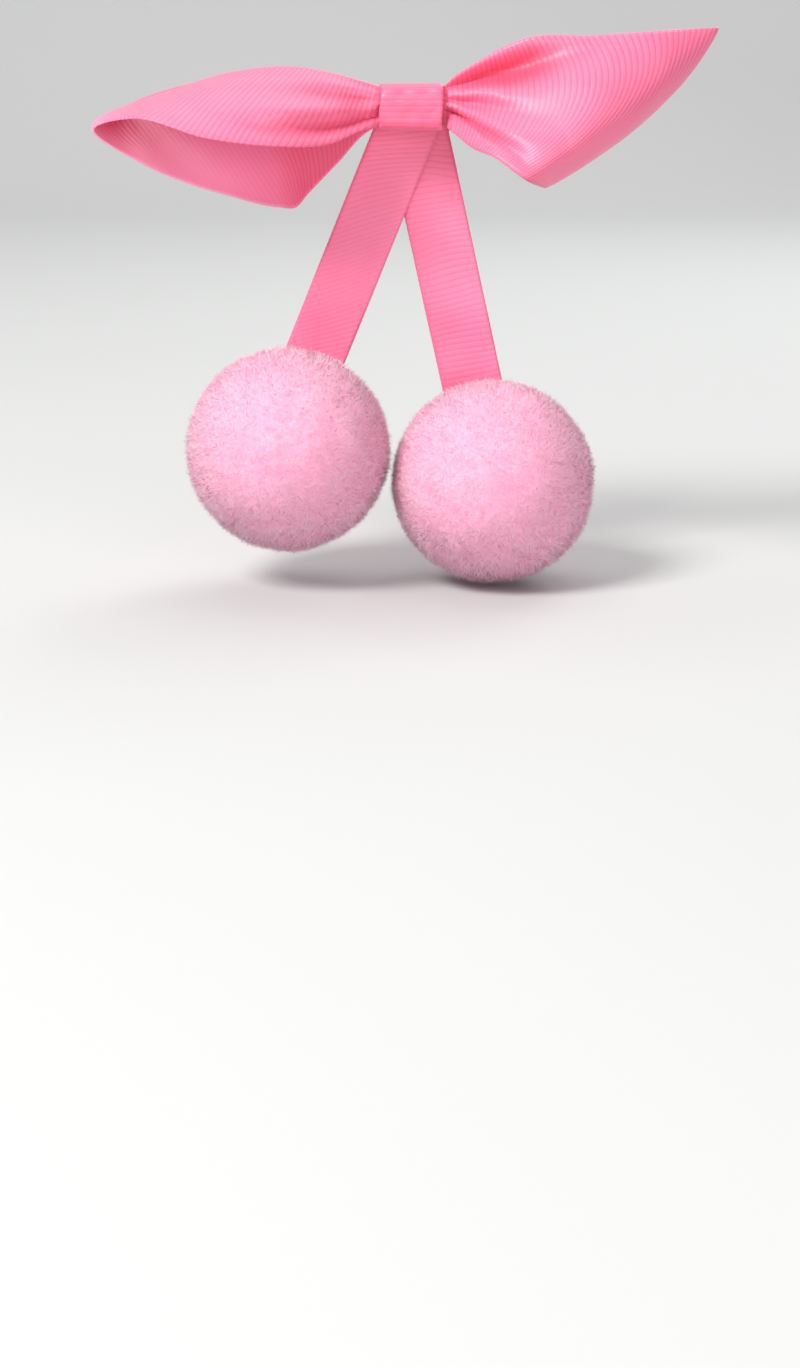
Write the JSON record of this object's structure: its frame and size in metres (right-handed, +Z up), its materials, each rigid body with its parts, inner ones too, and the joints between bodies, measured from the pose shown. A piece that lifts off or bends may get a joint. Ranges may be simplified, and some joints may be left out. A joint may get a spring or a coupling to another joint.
{
  "type": "pom-pom bow shoe clip",
  "caption": "Pink grosgrain ribbon bow with hanging ribbon tails that end in pom poms, backed with felt and a sprung metal shoe clip.",
  "frame": {"origin": "centre of the raised grip land on the clip's base plate, on the face that bears on the shoe", "axes": "+Z up, with the tails hanging down; +Y out of the grip land towards the shoe, so the bow faces -Y; +X along the bow, to the right as seen from the front"},
  "size_m": [0.1006, 0.038, 0.0895],
  "materials": {
    "bow_grosgrain": "ribbed grosgrain ribbon, soft sheen",
    "tail_grosgrain": "ribbed grosgrain ribbon, soft sheen",
    "pom_pile": "dense fuzzy cut pile, matte",
    "thread": "twisted sewing thread",
    "felt": "pressed felt, matte",
    "hot_glue": "translucent hot-melt glue",
    "nickel_steel": "nickel-plated spring steel",
    "rubber_pad": "matte rubber"
  },
  "bodies": {
    "bow": {"bow_ribbon": "bow_grosgrain", "knot_band": "bow_grosgrain", "gather_thread": "thread", "tail_ribbon_fold": "tail_grosgrain", "knot_glue": "hot_glue", "felt_backing": "felt", "clip_glue": "hot_glue", "clip_base_plate": "nickel_steel", "clip_hinge_pin": "nickel_steel", "clip_spring": "nickel_steel"},
    "jaw": {"clip_jaw": "nickel_steel", "jaw_pad": "rubber_pad"},
    "tail_tops": {"left_tail_ribbon_top": "tail_grosgrain", "right_tail_ribbon_top": "tail_grosgrain"},
    "left_tail": {"left_tail_ribbon_end": "tail_grosgrain", "left_pom_glue": "hot_glue", "left_pom_pom": "pom_pile", "left_pom_tie": "thread"},
    "right_tail": {"right_tail_ribbon_end": "tail_grosgrain", "right_pom_glue": "hot_glue", "right_pom_pom": "pom_pile", "right_pom_tie": "thread"}
  },
  "joints": [
    {"name": "jaw_hinge", "type": "hinge", "parent": "bow", "child": "jaw", "pos_m": [0, 0.0024, 0.0136], "axis": [1, 0, 0], "range_deg": [0, 100], "stiffness_Nm_per_rad": 0.004, "springref_deg": -17.19},
    {"name": "tails_swing", "type": "hinge", "parent": "bow", "child": "tail_tops", "pos_m": [0, -0.00425, 0.0081], "axis": [-1, 0, 0], "range_deg": [0, 60]},
    {"name": "left_tail_flex", "type": "hinge", "parent": "tail_tops", "child": "left_tail", "pos_m": [0, -0.0046, -0.00663], "axis": [-1, 0, 0], "range_deg": [0, 45]},
    {"name": "right_tail_flex", "type": "hinge", "parent": "tail_tops", "child": "right_tail", "pos_m": [0, -0.0039, -0.00663], "axis": [-1, 0, 0], "range_deg": [0, 45]}
  ]
}
